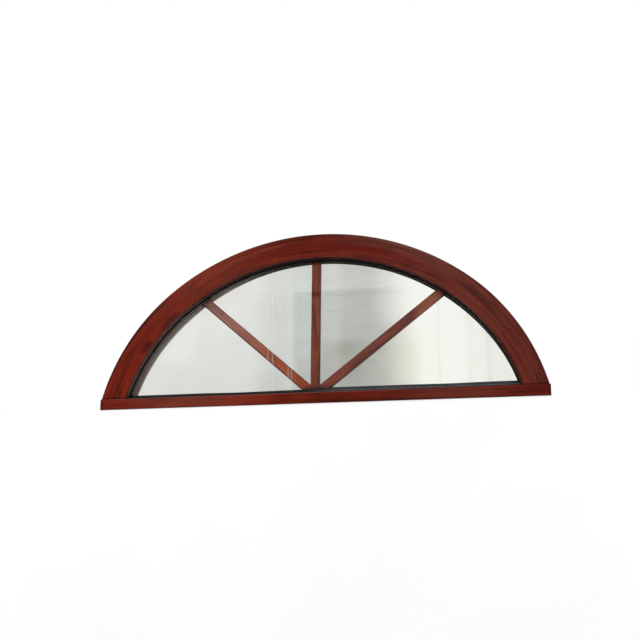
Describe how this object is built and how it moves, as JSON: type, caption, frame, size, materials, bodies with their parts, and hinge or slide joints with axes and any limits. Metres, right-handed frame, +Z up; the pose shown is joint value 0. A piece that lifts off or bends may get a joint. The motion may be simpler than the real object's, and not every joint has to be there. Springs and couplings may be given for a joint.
{
  "type": "fixed arched window with glazing bars",
  "caption": "Fixed arched window: a wood-look metal arch on a flat sill, closed by a sealed glass unit with flat bars fanned inside it.",
  "frame": {"origin": "centre of the sill's underside, at the middle of the frame's depth and of the sill's length", "axes": "+X along the sill, to the right as the front is seen; +Y from the front face to the back face; +Z up"},
  "size_m": [1.2, 0.065, 0.4649],
  "materials": {
    "wood_look_front": "aluminium with a mahogany wood-grain coating, satin",
    "wood_look_back": "aluminium with the same mahogany wood-grain coating, satin",
    "wood_look_bar": "thin rolled aluminium with the mahogany wood-grain coating, satin",
    "polyamide": "glass-filled polyamide, black, matt",
    "gasket_rubber": "extruded black rubber, dull",
    "block_plastic": "black packer plastic, matt",
    "pane_glass": "clear float glass",
    "spacer_metal": "dark grey spacer bar, satin",
    "sealant": "black edge sealant, dull"
  },
  "bodies": {
    "root": {"arch_front_shell": "wood_look_front", "arch_back_shell": "wood_look_back", "arch_outer_strip": "polyamide", "arch_inner_strip": "polyamide", "sill_front_shell": "wood_look_front", "sill_back_shell": "wood_look_back", "sill_lower_strip": "polyamide", "sill_upper_strip": "polyamide", "left_end_cap": "wood_look_front", "right_end_cap": "wood_look_front", "arch_glazing_bead": "wood_look_back", "arch_front_gasket": "gasket_rubber", "arch_back_gasket": "gasket_rubber", "sill_front_gasket": "gasket_rubber", "sill_back_gasket": "gasket_rubber", "left_setting_block": "block_plastic", "right_setting_block": "block_plastic", "outer_pane": "pane_glass", "inner_pane": "pane_glass", "arch_spacer": "spacer_metal", "sill_spacer": "spacer_metal", "arch_sealant": "sealant", "sill_sealant": "sealant", "centre_bar": "wood_look_bar", "left_bar": "wood_look_bar", "right_bar": "wood_look_bar"}
  },
  "joints": []
}
